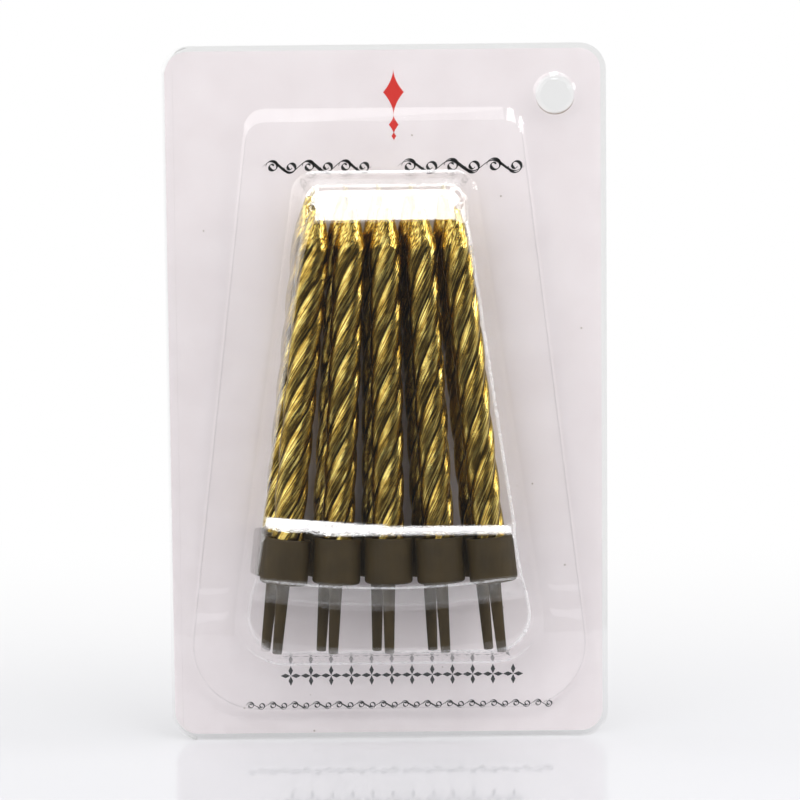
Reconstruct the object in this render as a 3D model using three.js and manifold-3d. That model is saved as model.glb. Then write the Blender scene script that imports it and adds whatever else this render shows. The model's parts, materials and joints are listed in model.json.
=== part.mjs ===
// A retail pack of ten spiral birthday candles. Each candle stands in a holder with a spike for the cake.
// The candles lie in two rows between a printed card and a clear shell that opens like a book.
// Millimetres, +Z up, the card facing -Y. Origin: middle of the bounding box at the foot of the pack.

import * as THREE from 'three';
import { mergeVertices } from 'three/addons/utils/BufferGeometryUtils.js';
import Module from 'manifold-3d';

// Sheets and clearances
const sheetThickness = 0.4;
const cardThickness = 0.4;
const restGap = 0.3;

// Candle: a twisted bar with rounded lobes, a short cone and a blind bore for its wick
const candlesPerRow = 5;
const candleDiameter = 5.9;
const candleLength = 65.6;
const tipLength = 5.9;
const tipRadius = 1.25;
const lobeCount = 4;
const grooveDepth = 0.55;
const twistLead = 33;
const pointsPerLobe = 3;

// Wick
const wickRadius = 0.4;
const wickStandout = 1.9;
const wickRootDepth = 1.8;

// Holder: a cup with a tapered spike below it
const cupDiameter = 8.8;
const cupHeight = 8.4;
const cupFloor = 2;
const cupEdgeRadius = 0.5;
const spikeLength = 13;
const spikeRootRadius = 1.2;
const spikeTipRadius = 0.88;
const holderSegments = 18;

// Rows: the cups stand wider apart than the tips, so the candles fan out downwards
const cupPitch = 9.2;
const shoulderPitch = 6.45;
const backRowShift = 2;
const shoulderClearance = 0.5;
const backCandleClearance = 0.45;

// Bubble of the front shell, which follows the candles
const sideClearance = 0.4;
const tipClearance = 0.55;
const headroom = 1.4;
const faceAboveShoulder = 3.4;
const sideDraft = 0.2;
const topDraft = 0.236;
const footDraft = 0.31;
const ledgeRise = 2.4;
const ledgeClearance = 0.8;
const cupBayBelow = 0.85;
const lowerLedgeDrop = 3.6;
const bubbleTopRadius = 4.5;
const bubbleFootRadius = 9;
const bubbleRadiusLoss = 0.15;

// Shallow step round the bubble
const stepHeight = 1.1;
const stepDraft = 0.5;
const stepAboveBubble = 12;
const stepBelowBubble = 8.9;
const stepSideTop = 10.5;
const stepSideFoot = 7.26;
const stepTopRadius = 3.7;
const stepFootRadius = 12.5;

// Outline of the pack
const headerHeight = 23.9;
const footHeight = 14.1;
const flangeMargin = 2.4;
const cornerRadius = 5;
const cardInset = 1;

// Folded edge on the left, a rolled bead whose centre line is the cover's hinge axis
const beadOverlap = 0.4;

// Snap button in the top right corner
const buttonInset = 9.4;
const buttonRadius = 3.85;
const buttonHeight = 1.6;
const buttonDraft = 0.2;
const cardHoleRadius = 3.6;

const arcSegments = 6;
const roundSegments = 32;
const overshoot = 2;

// Depths, measured from the card's front face towards the viewer
const flangeBack = restGap;
const flangeFront = flangeBack + sheetThickness;
const backSheetFront = -cardThickness - restGap;
const backSheetBack = backSheetFront - sheetThickness;
const hingeDepth = (flangeFront + backSheetBack) / 2;
const beadRadius = (flangeFront - backSheetBack) / 2;

const candleRadius = candleDiameter / 2;
const cupRadius = cupDiameter / 2;
const boreRadius = candleRadius + restGap;
const wickBoreRadius = wickRadius + restGap;
const lastIndex = (candlesPerRow - 1) / 2;

// The back row rests on the card, and the front row rests in the hollows between its cups
const rowSpacingAtCups = Math.sqrt((cupDiameter + restGap) ** 2 - backRowShift ** 2);
const rowSpacingAtShoulder = candleDiameter + shoulderClearance;
const backCupDepth = restGap + cupRadius;
const backShoulderDepth = backCandleClearance + candleRadius;
const frontCupDepth = backCupDepth + rowSpacingAtCups;
const frontShoulderDepth = backShoulderDepth + rowSpacingAtShoulder;
const shoulderShift = sideDraft * rowSpacingAtShoulder;

// Heights along the candles
const candleSeat = cupFloor + restGap;
const shoulderRise = candleSeat + candleLength - tipLength - cupHeight;
const tipRise = shoulderRise + tipLength;
const frontLean = (frontCupDepth - frontShoulderDepth) / shoulderRise;

/** Depth of the front row's axes at a height above the cups' rims. */
function frontDepth(aboveRim) {
  return frontCupDepth - frontLean * aboveRim;
}

// Heights above the foot of the pack
const spikeFaceHollow = frontDepth(-cupHeight - spikeLength) + spikeTipRadius + restGap;
const spikeTipY = footHeight + footDraft * (spikeFaceHollow - flangeBack) + sheetThickness + restGap;
const cupFootY = spikeTipY + spikeLength;
const cupRimY = cupFootY + cupHeight;
const shoulderY = cupRimY + shoulderRise;
const wickTopY = cupRimY + tipRise + wickStandout;

// Half widths of the bubble's mouth at the cups and at the shoulders, wide enough for both rows
const mouthAtCups = cupPitch * lastIndex + cupRadius + sideClearance + Math.max(
  backRowShift + sideDraft * pastMouth(backCupDepth),
  sideDraft * pastMouth(frontDepth(-cupHeight)),
);
const mouthAtShoulders = shoulderPitch * lastIndex + candleRadius + sideClearance
  + sideDraft * pastMouth(frontShoulderDepth);
const mouthTaper = (mouthAtCups - mouthAtShoulders) / shoulderRise;

/** How far a depth lies past the bubble's mouth, which is in the flange's back face. */
function pastMouth(depth) {
  return depth - flangeBack;
}

/** Half width of the bubble's mouth at a height above the foot of the pack. */
function mouthHalfWidth(height) {
  return mouthAtShoulders + mouthTaper * (shoulderY - height);
}

const bubbleTopY = wickTopY + headroom + topDraft * pastMouth(frontDepth(tipRise));
const bubbleFootY = footHeight + sheetThickness;
const stepTopY = bubbleTopY + stepAboveBubble;
const stepFootY = bubbleFootY - stepBelowBubble;
const stepHalfTop = mouthHalfWidth(stepTopY) + stepSideTop;
const stepHalfFoot = mouthHalfWidth(stepFootY) + stepSideFoot;
const packHeight = bubbleTopY + headerHeight;
const packHalfWidth = stepHalfFoot + flangeMargin;
const hingeX = -packHalfWidth + beadRadius;
const coverLeft = hingeX + beadRadius + restGap;
const buttonX = packHalfWidth - buttonInset;
const buttonY = packHeight - buttonInset;

const clearPlastic = new THREE.MeshStandardMaterial({
  name: 'clear_plastic', color: 0xe9e6ea, roughness: 0.08, metalness: 0, transparent: true, opacity: 0.3,
});
const card = new THREE.MeshStandardMaterial({ name: 'card', color: 0xe6dddf, roughness: 0.6, metalness: 0 });
const goldWax = new THREE.MeshStandardMaterial({ name: 'gold_wax', color: 0xb79a3d, roughness: 0.25, metalness: 0.9 });
const cotton = new THREE.MeshStandardMaterial({ name: 'cotton', color: 0xf1ecdf, roughness: 0.9, metalness: 0 });
const brownPlastic = new THREE.MeshStandardMaterial({
  name: 'brown_plastic', color: 0x443a26, roughness: 0.45, metalness: 0,
});

const wasm = await Module();
wasm.setup();

/** A closed geometry as a solid that can be joined and cut. */
function toSolid(geometry) {
  const bare = geometry.clone();
  bare.deleteAttribute('normal');
  bare.deleteAttribute('uv');
  const merged = mergeVertices(bare, 1e-4);
  return new wasm.Manifold(new wasm.Mesh({
    numProp: 3,
    vertProperties: new Float32Array(merged.attributes.position.array),
    triVerts: new Uint32Array(merged.index.array),
  }));
}

/** A solid back as a geometry. */
function toGeometry(solid) {
  const mesh = solid.getMesh();
  const geometry = new THREE.BufferGeometry();
  geometry.setAttribute('position', new THREE.BufferAttribute(new Float32Array(mesh.vertProperties), 3));
  geometry.setIndex(new THREE.BufferAttribute(new Uint32Array(mesh.triVerts), 1));
  geometry.computeVertexNormals();
  return geometry;
}

/** Skin through rings of equally many points, closed by a fan at both ends. */
function loft(rings) {
  const count = rings[0].length;
  const centre = (ring) => ring.reduce((sum, p) => sum.add(p), new THREE.Vector3()).divideScalar(count);
  const points = [centre(rings[0]), ...rings.flat(), centre(rings.at(-1))];
  const index = [];
  const at = (ring, k) => 1 + ring * count + (k % count);
  const last = rings.length - 1;
  for (let k = 0; k < count; k += 1) {
    index.push(0, at(0, k + 1), at(0, k));
    for (let ring = 0; ring < last; ring += 1) {
      index.push(at(ring, k), at(ring, k + 1), at(ring + 1, k + 1));
      index.push(at(ring, k), at(ring + 1, k + 1), at(ring + 1, k));
    }
    index.push(points.length - 1, at(last, k), at(last, k + 1));
  }
  const geometry = new THREE.BufferGeometry().setFromPoints(points);
  geometry.setIndex(index);
  geometry.computeVertexNormals();
  return geometry;
}

/** Outline through corners given anticlockwise, each rounded by its own radius. */
function roundedOutline(corners, radii) {
  const outline = [];
  corners.forEach((corner, i) => {
    const toLast = corners.at(i - 1).clone().sub(corner).normalize();
    const toNext = corners[(i + 1) % corners.length].clone().sub(corner).normalize();
    const halfAngle = toLast.angleTo(toNext) / 2;
    const inward = toLast.clone().add(toNext).normalize();
    const centre = corner.clone().addScaledVector(inward, radii[i] / Math.sin(halfAngle));
    const start = corner.clone().addScaledVector(toLast, radii[i] / Math.tan(halfAngle)).sub(centre).angle();
    for (let k = 0; k <= arcSegments; k += 1) {
      const turn = start + (Math.PI - 2 * halfAngle) * (k / arcSegments);
      outline.push(new THREE.Vector2(Math.cos(turn), Math.sin(turn)).multiplyScalar(radii[i]).add(centre));
    }
  });
  return outline;
}

/** Rounded outline of a piece that is symmetrical about x = 0 and widens downwards. */
function taperedOutline(footY, topY, halfFoot, halfTop, footRadius, topRadius) {
  const corners = [[-halfFoot, footY], [halfFoot, footY], [halfTop, topY], [-halfTop, topY]];
  const radii = [footRadius, footRadius, topRadius, topRadius];
  return roundedOutline(corners.map(([x, y]) => new THREE.Vector2(x, y)), radii);
}

/** Outline of a sheet inside the pack's own: a left edge, and one inset from the other three. */
function sheetOutline(left, inset) {
  const right = packHalfWidth - inset;
  const top = packHeight - inset;
  const corners = [[left, inset], [right, inset], [right, top], [left, top]];
  const leftRadius = cornerRadius - (left + packHalfWidth);
  const rightRadius = cornerRadius - inset;
  const radii = [leftRadius, rightRadius, rightRadius, leftRadius];
  return roundedOutline(corners.map(([x, y]) => new THREE.Vector2(x, y)), radii);
}

/** Flat sheet of an outline, between two depths. */
function flatSheet(outline, back, front, holes = []) {
  const shape = new THREE.Shape(outline);
  shape.holes.push(...holes.map((hole) => new THREE.Path(hole)));
  const geometry = new THREE.ExtrudeGeometry(shape, { depth: front - back, bevelEnabled: false });
  return geometry.translate(0, 0, back);
}

/** Circle of points round the button's centre. */
function buttonCircle(radius) {
  const turns = Array.from({ length: roundSegments }, (_, k) => (2 * Math.PI * k) / roundSegments);
  return turns.map((a) => new THREE.Vector2(buttonX + radius * Math.cos(a), buttonY + radius * Math.sin(a)));
}

/** A flat outline lifted to a depth. */
function atDepth(outline, depth) {
  return outline.map((p) => new THREE.Vector3(p.x, p.y, depth));
}

/** Every point of a closed anticlockwise polygon moved outwards, so its sides shift by a distance. */
function grownPolygon(points, distance) {
  const normal = (a, b) => new THREE.Vector2(b.y - a.y, a.x - b.x).normalize();
  return points.map((point, i) => {
    const before = normal(points.at(i - 1), point);
    const after = normal(point, points[(i + 1) % points.length]);
    const reach = distance / (1 + before.dot(after));
    return point.clone().addScaledVector(before.add(after), reach);
  });
}

/** Side view of the bubble's hollow as depth and height, open past the mouth, top and foot. */
function bubbleProfile() {
  const candleFace = (height) => frontDepth(height - cupRimY) + candleRadius + restGap;
  const cupFace = frontDepth(-cupHeight) + cupRadius + restGap;
  const faceTopY = shoulderY + faceAboveShoulder;
  const facetTop = frontDepth(tipRise) + wickRadius + tipClearance;
  const facetSlope = (candleFace(faceTopY) - facetTop) / (wickTopY - faceTopY);
  const ledgeFootY = cupRimY + ledgeClearance;
  const ledgeTopY = ledgeFootY + ledgeRise;
  const bayFootY = cupFootY - cupBayBelow;
  const endY = bubbleTopY + overshoot;
  return [
    [-overshoot, bubbleFootY - overshoot],
    [spikeFaceHollow, bubbleFootY - overshoot],
    [spikeFaceHollow, bayFootY - lowerLedgeDrop],
    [cupFace, bayFootY],
    [cupFace, ledgeFootY],
    [candleFace(ledgeTopY), ledgeTopY],
    [candleFace(faceTopY), faceTopY],
    [facetTop - facetSlope * (endY - wickTopY), endY],
    [-overshoot, endY],
  ].map(([depth, height]) => new THREE.Vector2(depth, height));
}

/** Corner radius of the bubble's hollow at a depth, tighter towards its front. */
function cornerAt(mouthRadius, depth) {
  return Math.max(mouthRadius - bubbleRadiusLoss * pastMouth(depth), sheetThickness);
}

/** The bubble as a solid: growth 0 gives its hollow, growth of one sheet its outside. */
function bubbleSolid(growth) {
  const ring = (depth) => atDepth(taperedOutline(
    bubbleFootY + footDraft * pastMouth(depth) - growth,
    bubbleTopY - topDraft * pastMouth(depth) + growth,
    mouthHalfWidth(bubbleFootY) - sideDraft * pastMouth(depth) + growth,
    mouthHalfWidth(bubbleTopY) - sideDraft * pastMouth(depth) + growth,
    cornerAt(bubbleFootRadius, depth) + growth,
    cornerAt(bubbleTopRadius, depth) + growth,
  ), depth);
  const profile = grownPolygon(bubbleProfile(), growth);
  const deepest = Math.max(...profile.map((p) => p.x)) + overshoot;
  const start = growth > 0 ? flangeBack + sheetThickness / 2 : flangeBack - overshoot;
  const walls = toSolid(loft([ring(start), ring(deepest)]));
  const width = 2 * (packHalfWidth + overshoot);
  const front = new THREE.ExtrudeGeometry(new THREE.Shape(profile), { depth: width, bevelEnabled: false });
  front.translate(0, 0, -width / 2).rotateY(-Math.PI / 2);
  return walls.intersect(toSolid(front));
}

/** The shallow step as a solid, like the bubble's. */
function stepSolid(growth) {
  const ring = (depth, inset) => atDepth(taperedOutline(
    stepFootY + inset - growth,
    stepTopY - inset + growth,
    stepHalfFoot - inset + growth,
    stepHalfTop - inset + growth,
    stepFootRadius + growth,
    stepTopRadius + growth,
  ), depth);
  const top = flangeBack + stepHeight + growth;
  const start = growth > 0 ? flangeBack + sheetThickness / 2 : flangeBack - overshoot;
  return toSolid(loft([ring(start, 0), ring(top, stepDraft * stepHeight)]));
}

/** Round button as a solid between two depths, narrowing towards the viewer. */
function buttonSolid(radius, back, front) {
  const rings = [[radius, back], [radius - buttonDraft, front]];
  return toSolid(loft(rings.map(([r, depth]) => atDepth(buttonCircle(r), depth))));
}

/** Front shell: flange, step, bubble and the snap button's cap, one formed clear sheet. */
function frontShell() {
  const outline = sheetOutline(coverLeft, 0);
  const capTop = flangeFront + buttonHeight;
  const middle = (flangeBack + flangeFront) / 2;
  const outside = toSolid(flatSheet(outline, flangeBack, flangeFront))
    .add(stepSolid(sheetThickness))
    .add(bubbleSolid(sheetThickness))
    .add(buttonSolid(buttonRadius, middle, capTop));
  const inside = stepSolid(0)
    .add(bubbleSolid(0))
    .add(buttonSolid(buttonRadius - sheetThickness, flangeBack - overshoot, capTop - sheetThickness));
  return toGeometry(outside.subtract(inside));
}

/** Back shell: a flat clear sheet with the hollow stud that snaps into the front shell's cap. */
function backShell() {
  const outline = sheetOutline(coverLeft, 0);
  const studRadius = buttonRadius - sheetThickness - restGap;
  const studTop = flangeFront + buttonHeight - sheetThickness - restGap;
  const middle = (backSheetBack + backSheetFront) / 2;
  const outside = toSolid(flatSheet(outline, backSheetBack, backSheetFront))
    .add(buttonSolid(studRadius, middle, studTop));
  const hollow = buttonSolid(studRadius - sheetThickness, backSheetBack - overshoot, studTop - sheetThickness);
  return toGeometry(outside.subtract(hollow));
}

/** Folded edge: a rolled bead, open along the side where the card's edge lies in it. */
function hingeFold() {
  const slot = cardThickness / 2 + restGap;
  const innerRadius = beadRadius - sheetThickness;
  const outerTurn = Math.asin(slot / beadRadius);
  const innerTurn = Math.asin(Math.min(slot / innerRadius, 1));
  const section = new THREE.Shape();
  section.absarc(0, 0, beadRadius, outerTurn, 2 * Math.PI - outerTurn, false);
  section.absarc(0, 0, innerRadius, 2 * Math.PI - innerTurn, innerTurn, true);
  const depth = packHeight - 2 * cornerRadius;
  const geometry = new THREE.ExtrudeGeometry(section, { depth, bevelEnabled: false, curveSegments: 2 * arcSegments });
  return geometry.rotateX(-Math.PI / 2).translate(hingeX, cornerRadius, hingeDepth);
}

/** Printed card with the hole that the snap button goes through. */
function printedCard() {
  const outline = sheetOutline(hingeX + beadOverlap, cardInset);
  return flatSheet(outline, -cardThickness, 0, [buttonCircle(cardHoleRadius)]);
}

/** One ring of the candle at a height, turned by the twist, with its lobes drawn to a share of their depth. */
function candleRing(height, radius, lobeShare) {
  const count = lobeCount * pointsPerLobe;
  return Array.from({ length: count }, (_, k) => {
    const turn = 2 * Math.PI * (k / count + height / twistLead);
    const r = radius - (k % pointsPerLobe === 0 ? grooveDepth * lobeShare : 0);
    return new THREE.Vector3(r * Math.sin(turn), height, r * Math.cos(turn));
  });
}

/** Candle, standing on y = 0 round the y axis. */
function candle() {
  const bodyLength = candleLength - tipLength;
  const steps = Math.round((bodyLength * lobeCount * pointsPerLobe) / twistLead);
  const rings = [];
  for (let k = 0; k <= steps; k += 1) {
    rings.push(candleRing((bodyLength * k) / steps, candleRadius, 1));
  }
  rings.push(candleRing(bodyLength + tipLength / 2, (candleRadius + tipRadius) / 2, 1 / 2));
  rings.push(candleRing(candleLength, tipRadius, 0));
  rings.push(candleRing(candleLength, wickBoreRadius, 0));
  rings.push(candleRing(candleLength - wickRootDepth - restGap, wickBoreRadius, 0));
  return loft(rings);
}

/** Wick, with its root at y = 0. */
function wick() {
  const length = wickRootDepth + wickStandout;
  return new THREE.CylinderGeometry(wickRadius, wickRadius, length, 2 * arcSegments).translate(0, length / 2, 0);
}

/** Holder round the y axis, with the cup's foot at y = 0 and the spike below it. */
function holder() {
  const profile = [
    [0, -spikeLength],
    [spikeTipRadius, -spikeLength],
    [spikeRootRadius, 0],
    [cupRadius - cupEdgeRadius, 0],
    [cupRadius, cupEdgeRadius],
    [cupRadius, cupHeight - cupEdgeRadius / 2],
    [cupRadius - cupEdgeRadius / 2, cupHeight],
    [boreRadius, cupHeight],
    [boreRadius, cupFloor],
    [0, cupFloor],
  ].map(([x, y]) => new THREE.Vector2(x, y));
  return new THREE.LatheGeometry(profile, holderSegments);
}

/** One candle in its holder, leaning along the line from its cup to its shoulder. */
function candleSet(name, cupX, cupDepth, shoulderX, shoulderDepth) {
  const rim = new THREE.Vector3(cupX, cupRimY, cupDepth);
  const shoulder = new THREE.Vector3(shoulderX, shoulderY, shoulderDepth);
  const axis = shoulder.sub(rim).normalize();
  const group = new THREE.Group();
  group.position.copy(rim).addScaledVector(axis, -cupHeight);
  group.quaternion.setFromUnitVectors(new THREE.Vector3(0, 1, 0), axis);
  addPiece(group, `holder_${name}`, holder(), brownPlastic);
  addPiece(group, `candle_${name}`, candle(), goldWax, candleSeat);
  addPiece(group, `wick_${name}`, wick(), cotton, candleSeat + candleLength - wickRootDepth);
  return group;
}

/** Adds a named piece to a group, raised along its y axis. */
function addPiece(group, name, geometry, material, raise = 0) {
  const mesh = new THREE.Mesh(geometry, material);
  mesh.name = name;
  mesh.position.y = raise;
  group.add(mesh);
}

/** Both rows, numbered from left to right. */
function candleRows() {
  const group = new THREE.Group();
  for (let i = 0; i < candlesPerRow; i += 1) {
    const place = i - lastIndex;
    const cupX = cupPitch * place;
    const shoulderX = shoulderPitch * place;
    group.add(candleSet(`front_${i + 1}`, cupX, frontCupDepth, shoulderX, frontShoulderDepth));
    group.add(candleSet(
      `back_${i + 1}`, cupX - backRowShift, backCupDepth, shoulderX - shoulderShift, backShoulderDepth,
    ));
  }
  return group;
}

// The pack is drawn with x to the right, y up and z towards the viewer, then stood up with +Z up
const pack = new THREE.Group();
addPiece(pack, 'front_shell', frontShell(), clearPlastic);
addPiece(pack, 'back_shell', backShell(), clearPlastic);
addPiece(pack, 'hinge_fold', hingeFold(), clearPlastic);
addPiece(pack, 'printed_card', printedCard(), card);
pack.add(candleRows());
pack.rotation.x = Math.PI / 2;
const bubbleFront = frontDepth(-cupHeight) + cupRadius + restGap + sheetThickness;
pack.position.y = (bubbleFront + backSheetBack) / 2;

export default new THREE.Group().add(pack);
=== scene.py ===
# %% [markdown]
# A retail pack of ten spiral birthday candles, dressed round its CAD frame.
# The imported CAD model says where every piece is. This script gives each piece a finer skin and a finish,
# and lets it move with the CAD body that carries it. The frame is loaded first, and its box is kept, because
# the dressed pack has to stay inside it.

# %% The frame
import json
import math

import bmesh
import bpy
import numpy as np
from mathutils import Matrix, Vector
from mathutils.geometry import delaunay_2d_cdt


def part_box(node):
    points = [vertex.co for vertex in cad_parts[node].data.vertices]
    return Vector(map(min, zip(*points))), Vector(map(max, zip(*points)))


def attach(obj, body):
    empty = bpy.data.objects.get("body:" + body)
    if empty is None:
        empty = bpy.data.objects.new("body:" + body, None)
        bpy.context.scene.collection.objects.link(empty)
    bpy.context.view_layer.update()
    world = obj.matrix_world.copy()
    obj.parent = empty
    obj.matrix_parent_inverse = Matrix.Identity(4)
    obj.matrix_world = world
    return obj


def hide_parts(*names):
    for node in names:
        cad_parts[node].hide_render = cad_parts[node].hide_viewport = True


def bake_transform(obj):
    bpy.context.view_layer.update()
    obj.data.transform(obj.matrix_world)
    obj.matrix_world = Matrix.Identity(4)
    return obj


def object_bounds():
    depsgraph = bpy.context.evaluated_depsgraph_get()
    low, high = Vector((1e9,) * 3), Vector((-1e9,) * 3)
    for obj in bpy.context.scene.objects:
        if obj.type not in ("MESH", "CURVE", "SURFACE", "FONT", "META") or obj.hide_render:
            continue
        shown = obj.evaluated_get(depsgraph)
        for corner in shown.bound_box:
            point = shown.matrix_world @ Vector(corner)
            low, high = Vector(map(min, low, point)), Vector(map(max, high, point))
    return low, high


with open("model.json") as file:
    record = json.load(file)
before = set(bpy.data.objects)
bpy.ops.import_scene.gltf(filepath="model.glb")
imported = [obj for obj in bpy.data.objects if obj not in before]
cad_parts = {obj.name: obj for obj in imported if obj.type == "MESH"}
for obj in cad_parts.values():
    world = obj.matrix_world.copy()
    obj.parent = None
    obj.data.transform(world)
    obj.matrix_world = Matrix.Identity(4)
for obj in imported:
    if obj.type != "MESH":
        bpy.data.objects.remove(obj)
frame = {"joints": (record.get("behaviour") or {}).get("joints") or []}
cad_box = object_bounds()
print("CAD box:", [tuple(round(v, 4) for v in corner) for corner in cad_box])

# %% [markdown]
# The pack is drawn flat first, as a packaging designer would draw it, in millimetres: across, up the card, and
# out of the card towards the viewer. One function stands such points up in the frame, in metres. The card's
# front face is where the CAD card has it.

# %% From the drawing board to the frame
MM = 0.001
card_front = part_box("printed_card")[0].y


def combine(*coordinates):
    """Arrays of single coordinates as one array of points."""
    return np.stack(coordinates, axis=-1)


def stand(points):
    """Points (across, up, out) in millimetres become frame points: x is across, z is up, y is card front less out."""
    across, up, out = np.moveaxis(np.asarray(points, float), -1, 0)
    return combine(across * MM, card_front - out * MM, up * MM)


def full_turn(count):
    """Angles all the way round, without the first again."""
    return np.linspace(0, 2 * np.pi, count, endpoint=False)


def grid_faces(rows, columns, around=False):
    """Quads that join every point of a grid to its next in the row and in the column; around closes each row."""
    index = np.arange(rows * columns).reshape(rows, columns)
    if around:
        index = np.column_stack([index, index[:, :1]])
    corners = [index[:-1, :-1], index[:-1, 1:], index[1:, 1:], index[1:, :-1]]
    return np.stack(corners, axis=-1).reshape(-1, 4)


def new_object(name, data):
    """An object in the scene."""
    made = bpy.data.objects.new(name, data)
    bpy.context.scene.collection.objects.link(made)
    return made


def make_piece(name, points, faces, body, material, replaces=(), sharp_angle=40):
    """A named mesh from frame points and faces, shaded smooth between sharp edges, riding on a CAD body if given."""
    mesh = bpy.data.meshes.new(name)
    mesh.from_pydata(np.asarray(points).reshape(-1, 3).tolist(), [], faces)
    piece = new_object(name, mesh)
    finish_shading(piece, sharp_angle)
    mesh.materials.append(material)
    if body:
        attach(piece, body)
    if replaces:
        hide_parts(*replaces)
    print(f"{name}: {len(mesh.polygons)} faces")
    return piece


def finish_shading(piece, sharp_angle):
    """Smooth faces, with the edges that turn by more than the angle kept sharp."""
    piece.data.validate()
    piece.data.shade_smooth()
    piece.data.set_sharp_from_angle(angle=math.radians(sharp_angle))


def thicken(piece, thickness, sharp_angle=40):
    """Gives a single sheet its wall behind it, as applied mesh."""
    wall = piece.modifiers.new("wall", "SOLIDIFY")
    wall.thickness = thickness * MM
    wall.offset = -1
    wall.use_even_offset = True
    bpy.context.view_layer.update()
    whole = piece.evaluated_get(bpy.context.evaluated_depsgraph_get())
    piece.data = bpy.data.meshes.new_from_object(whole)
    piece.modifiers.clear()
    finish_shading(piece, sharp_angle)


# %% [markdown]
# Finishes come before shapes, so that each shape gets its own as it is made. Every colour is written as the
# sRGB hex value that a paint program shows, and one function turns it to the linear numbers that light adds up in.
# Small functions add the nodes with their settings and links, so each material reads as a short recipe.

# %% Helpers for materials
def linear(hex_colour):
    """sRGB hex as linear red, green, blue and a full alpha: each part is decoded by the sRGB curve."""
    parts = [int(hex_colour[i:i + 2], 16) / 255 for i in (1, 3, 5)]
    return (*[p / 12.92 if p <= 0.04045 else ((p + 0.055) / 1.055) ** 2.4 for p in parts], 1)


WHITE = linear("#FFFFFF")


def add(tree, kind, settings=None, **inputs):
    """Adds a shader node. Settings are its own properties; each input is a value, or the socket that feeds it."""
    node = tree.nodes.new("ShaderNode" + kind)
    for name, value in (settings or {}).items():
        setattr(node, name, value)
    for name, value in inputs.items():
        socket = node.inputs[int(name[1:])] if name[1:].isdigit() else node.inputs[name.replace("_", " ")]
        if isinstance(value, bpy.types.NodeSocket):
            tree.links.new(value, socket)
        else:
            socket.default_value = value
    return node


def ramp(tree, factor, stops):
    """A colour ramp on a factor, from (position, hex colour) stops."""
    node = add(tree, "ValToRGB", Fac=factor)
    elements = node.color_ramp.elements
    for k, (position, colour) in enumerate(stops):
        element = elements[k] if k < 2 else elements.new(position)
        element.position = position
        element.color = linear(colour)
    return node.outputs["Color"]


def new_material(name):
    """An empty node material; returns the material, its tree and the object's own coordinates."""
    material = bpy.data.materials.new(name)
    material.use_nodes = True
    tree = material.node_tree
    tree.nodes.clear()
    return material, tree, add(tree, "TexCoord").outputs["Object"]


def surface(material, shader):
    """Makes a shader the material's surface."""
    add(material.node_tree, "OutputMaterial", Surface=shader.outputs[0])
    return material


def noise(tree, place, size, detail, **inputs):
    """Noise whose lumps are about as large as the size."""
    return add(tree, "TexNoise", Vector=place, Scale=1 / size, Detail=detail, **inputs).outputs["Fac"]


def drawn_out(tree, place, width, length, detail):
    """Noise drawn out along Z, so wide across and so long: the lines that flowing material leaves."""
    scale = (1 / width, 1 / width, 1 / length)
    return noise(tree, add(tree, "Mapping", Vector=place, Scale=scale).outputs[0], 1.0, detail)


def calculate(tree, operation, *values):
    """A math node on two or three values."""
    inputs = {f"_{k}": value for k, value in enumerate(values)}
    return add(tree, "Math", {"operation": operation}, **inputs).outputs[0]


def between(tree, value, low, high, to_low, to_high, curve="LINEAR"):
    """A value carried over from one range to another."""
    curve = {"interpolation_type": curve}
    return add(tree, "MapRange", curve, _0=value, _1=low, _2=high, _3=to_low, _4=to_high).outputs[0]


def bump(tree, height, strength, distance):
    """The normal of a fine relief."""
    return add(tree, "Bump", Height=height, Strength=strength, Distance=distance).outputs["Normal"]


def mix(tree, share, first, second):
    """Two shaders mixed by the share of the second."""
    return add(tree, "MixShader", _0=share, _1=first.outputs[0], _2=second.outputs[0])


# %% [markdown]
# Clear PVC, thermoformed. A 0.4 mm sheet bends light so little that a straight see-through shader looks the same
# and lets the lamps light what is inside. What the eye reads as plastic is the mirror on both faces: 4% head on,
# and far more at a glancing angle. Schlick's formula gives that share from how far the face is turned away.
# Where the sheet was bent hard it is whitened: partly the stress whitening of forming, partly painted highlight
# for the bright lines at the bends. The cover carries that white as an attribute.

# %% Clear formed plastic
def clear_pvc():
    """See-through with a mirror share of 0.04 + 0.96 times facing to the fifth power, and the waves of forming."""
    material, tree, place = new_material("clear_pvc_thermoformed")
    waves = bump(tree, noise(tree, place, 14 * MM, 1.0), 0.25, 0.12 * MM)
    turned = add(tree, "LayerWeight", Blend=0.5, Normal=waves).outputs["Facing"]
    share = calculate(tree, "MULTIPLY_ADD", calculate(tree, "POWER", turned, 5.0), 0.96, 0.04)
    through = add(tree, "BsdfTransparent", Color=linear("#FDFDFD"))
    mirror = add(tree, "BsdfGlossy", Color=WHITE, Roughness=0.03, Normal=waves)
    clear = mix(tree, share, through, mirror)
    # The white at hard bends is partly stress whitening and partly painted highlight.
    strain_and_highlight = add(tree, "Attribute", {"attribute_name": "strain_and_highlight"}).outputs["Fac"]
    uneven = between(tree, noise(tree, place, 0.9 * MM, 3.0), 0.35, 0.65, 0.6, 1.3)
    clamped = {"operation": "MULTIPLY", "use_clamp": True}
    strain_and_highlight_share = add(tree, "Math", clamped, _0=strain_and_highlight, _1=uneven).outputs[0]
    crazed_and_highlight_white = add(tree, "BsdfDiffuse", Color=linear("#FBFAFC"))
    return surface(material, mix(tree, strain_and_highlight_share, clear, crazed_and_highlight_white))


pvc = clear_pvc()
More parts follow.
